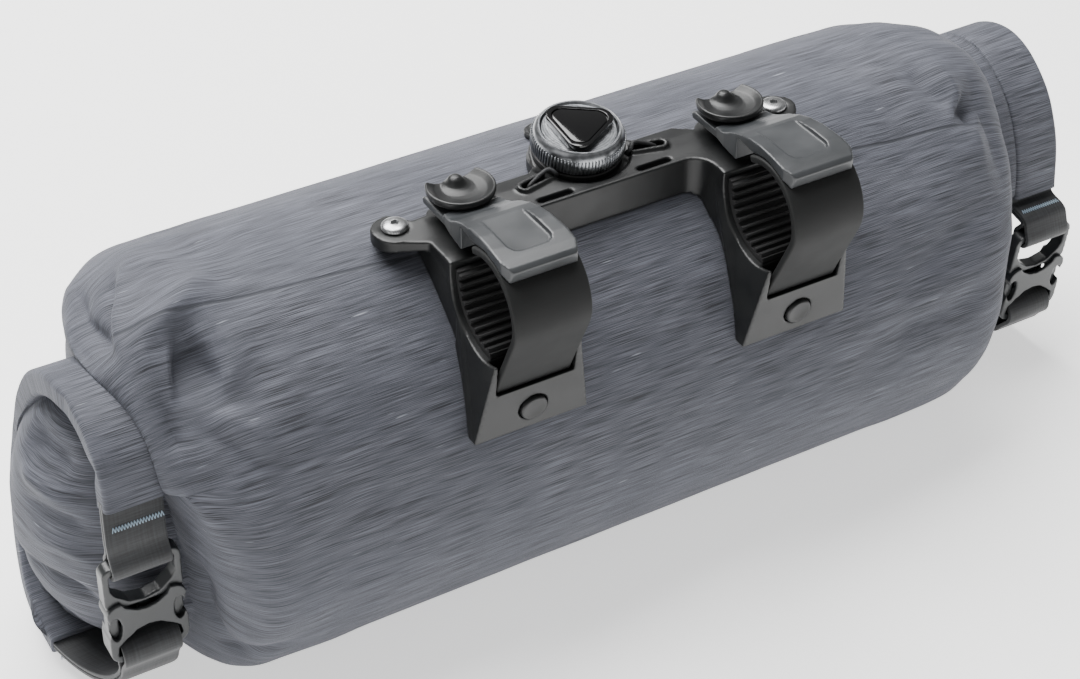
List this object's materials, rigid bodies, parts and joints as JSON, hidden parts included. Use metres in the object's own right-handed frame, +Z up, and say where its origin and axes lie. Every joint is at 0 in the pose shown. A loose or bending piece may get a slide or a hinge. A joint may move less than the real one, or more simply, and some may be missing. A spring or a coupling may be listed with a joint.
{
  "type": "bicycle handlebar bag",
  "caption": "Roll-ended cylindrical handlebar bag with a two-legged moulded bar bracket, rubber bar straps with latch levers, side-release buckles and a lace-tightening dial.",
  "frame": {"origin": "centre of the footprint of the whole bag, on the surface that it lies on", "axes": "+X along the bag's tube to its right end as a rider facing the bracket sees it, -Y out of the front where the handlebar goes, +Z up"},
  "size_m": [0.4138, 0.1662, 0.1682],
  "materials": {
    "coated_heather_fabric": "coated heather weave, matt with a faint sheen",
    "black_webbing": "matt woven webbing and lace",
    "glass_filled_nylon": "satin moulded glass-filled nylon",
    "black_rubber": "matt moulded rubber",
    "grey_nylon": "satin dark grey moulding",
    "black_acetal": "satin black moulding",
    "stainless_steel": "satin steel",
    "gunmetal_dial": "silver-grey metallised moulding",
    "gloss_black_cap": "gloss black"
  },
  "bodies": {
    "bag": {"bag_body": "coated_heather_fabric", "roll_left": "coated_heather_fabric", "buckle_female_left": "black_acetal", "buckle_male_left": "black_acetal", "webbing_upper_left": "black_webbing", "webbing_lower_left": "black_webbing", "roll_right": "coated_heather_fabric", "buckle_female_right": "black_acetal", "buckle_male_right": "black_acetal", "webbing_upper_right": "black_webbing", "webbing_lower_right": "black_webbing", "bracket": "glass_filled_nylon", "grip_pad_left": "black_rubber", "strap_left": "black_rubber", "foot_rivet_left": "glass_filled_nylon", "latch_left": "grey_nylon", "hook_left": "glass_filled_nylon", "lace_left": "black_webbing", "ear_screw_left": "stainless_steel", "grip_pad_right": "black_rubber", "strap_right": "black_rubber", "foot_rivet_right": "glass_filled_nylon", "latch_right": "grey_nylon", "hook_right": "glass_filled_nylon", "lace_right": "black_webbing", "ear_screw_right": "stainless_steel", "ear_screw_rear": "stainless_steel", "dial_base": "glass_filled_nylon"},
    "dial_spindle": {"dial_core": "stainless_steel"},
    "dial_top": {"dial_knob": "gunmetal_dial", "dial_cap": "gloss_black_cap"}
  },
  "joints": [
    {"name": "dial_pull", "type": "slide", "parent": "bag", "child": "dial_spindle", "axis": [0, -0.1392, 0.9903], "range_m": [0, 0.0025]},
    {"name": "dial_turn", "type": "hinge", "parent": "dial_spindle", "child": "dial_top", "pos_m": [-0.00586, -0.00936, 0.15024], "axis": [0, -0.1392, 0.9903], "continuous": true}
  ]
}
